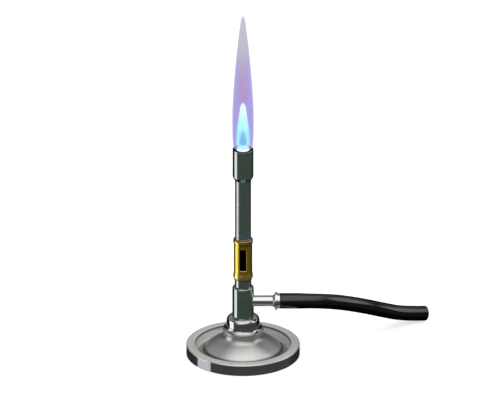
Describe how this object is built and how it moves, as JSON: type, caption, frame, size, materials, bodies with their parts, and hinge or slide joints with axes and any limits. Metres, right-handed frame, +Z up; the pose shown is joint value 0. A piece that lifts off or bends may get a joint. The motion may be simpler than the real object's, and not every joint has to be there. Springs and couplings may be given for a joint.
{
  "type": "bunsen burner",
  "caption": "Upright laboratory gas burner on a round weighted base, with a turning slotted air collar, a flame stabiliser head and a side gas inlet with a short rubber hose.",
  "frame": {"origin": "on the bench, under the centre of the burner tube and of the round base", "axes": "+Z up along the burner tube, +X along the side gas inlet, -Y towards the front air port"},
  "size_m": [0.1936, 0.1178, 0.1768],
  "materials": {
    "nickel_base": "satin nickel plate on a solid casting, darker and glossier on the rim's side",
    "bright_plate": "bright plated brass",
    "stem_finish": "smooth gloss finish, dark green-grey",
    "brass": "polished, lightly tarnished",
    "zinc_steel": "bright zinc plate",
    "spring_steel": "dark oiled spring steel",
    "hose_rubber": "smooth black rubber with a soft sheen",
    "pad_rubber": "matt black rubber",
    "fibre": "pale pressed fibre"
  },
  "bodies": {
    "burner": {"base": "nickel_base", "base_pad": "pad_rubber", "seat_ring": "bright_plate", "lock_collar": "bright_plate", "collar_grub_screw": "zinc_steel", "burner_body": "stem_finish", "base_stud": "zinc_steel", "plain_washer": "zinc_steel", "spring_washer": "spring_steel", "base_nut": "zinc_steel", "gas_inlet": "bright_plate", "inlet_washer": "fibre", "gas_jet": "brass", "jet_washer": "fibre", "barrel": "stem_finish", "snap_ring": "spring_steel", "stabiliser_sleeve": "stem_finish", "pilot_ring": "stem_finish", "gas_hose": "hose_rubber"},
    "air_regulator": {"air_collar": "brass", "friction_ring": "spring_steel"}
  },
  "joints": [
    {"name": "air_collar_turn", "type": "hinge", "parent": "burner", "child": "air_regulator", "pos_m": [0, 0, 0.0831], "axis": [0, 0, 1], "continuous": true}
  ]
}
